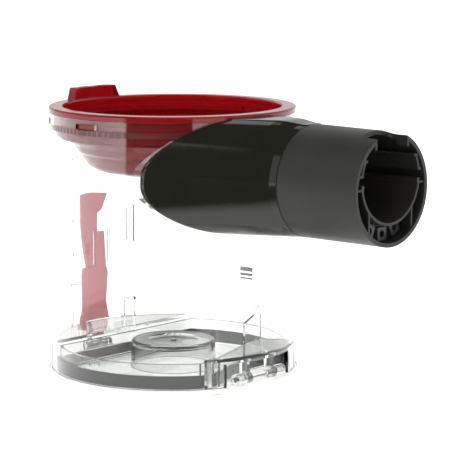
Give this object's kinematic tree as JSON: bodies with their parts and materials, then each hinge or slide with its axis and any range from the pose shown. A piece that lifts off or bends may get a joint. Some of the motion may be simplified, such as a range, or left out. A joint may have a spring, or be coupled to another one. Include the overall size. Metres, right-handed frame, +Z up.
{
  "type": "handheld vacuum dust bin",
  "caption": "Clear cylindrical dust bin of a cyclonic handheld vacuum, with a red collar and funnel, a side inlet tube, a hinged clear base and a red release slider.",
  "frame": {"origin": "centre of the closed base, on the surface that the bin stands on", "axes": "+Z up the bin's axis, +X along the inlet tube, latch and release slider at -X"},
  "size_m": [0.1892, 0.114, 0.1276],
  "materials": {
    "clear_plastic": "clear polished polycarbonate",
    "red_plastic": "translucent red polycarbonate",
    "red_seal": "soft red silicone",
    "dark_gloss": "olive-black, glossy",
    "dark_plastic": "black moulded",
    "satin_grey": "dark warm grey, satin",
    "seal_rubber": "matt dark grey rubber",
    "socket_plastic": "grey moulded",
    "wire_sleeve": "insulation",
    "mark_ink": "dark printed ink",
    "steel": "drawn steel"
  },
  "bodies": {
    "bin": {"bin_body": "clear_plastic", "top_collar": "red_plastic", "inlet_funnel": "red_plastic", "collar_seal": "red_seal", "duct_fairing": "dark_gloss", "inlet_gasket": "seal_rubber", "airway_floor": "dark_plastic", "inlet_tube": "satin_grey", "bore_liner": "satin_grey", "terminal_block": "dark_plastic", "terminal_sockets": "socket_plastic", "contact_wires": "wire_sleeve", "rear_connector": "dark_plastic", "level_mark": "mark_ink", "hinge_pin": "clear_plastic"},
    "lid": {"base_lid": "clear_plastic", "base_seal": "seal_rubber", "centre_cup": "clear_plastic", "catch_pin": "steel", "catch_spring": "steel"},
    "catch": {"base_catch": "clear_plastic"},
    "slider": {"release_slider": "red_plastic", "release_foot": "red_plastic"}
  },
  "joints": [
    {"name": "lid_hinge", "type": "hinge", "parent": "bin", "child": "lid", "pos_m": [0.0525, 0, 0.0053], "axis": [0, -1, 0], "range_deg": [0, 95]},
    {"name": "release_slide", "type": "slide", "parent": "bin", "child": "slider", "axis": [0, 0, -1], "range_m": [0, 0.006]},
    {"name": "catch_pivot", "type": "hinge", "parent": "lid", "child": "catch", "pos_m": [-0.06, 0.006, 0.003], "axis": [0, -1, 0], "range_deg": [0, 30], "stiffness_Nm_per_rad": 0.05, "springref_deg": -17.19}
  ],
  "couplings": [
    {"joint": "catch_pivot", "follows": "release_slide", "rad_per_m": 87.26}
  ]
}
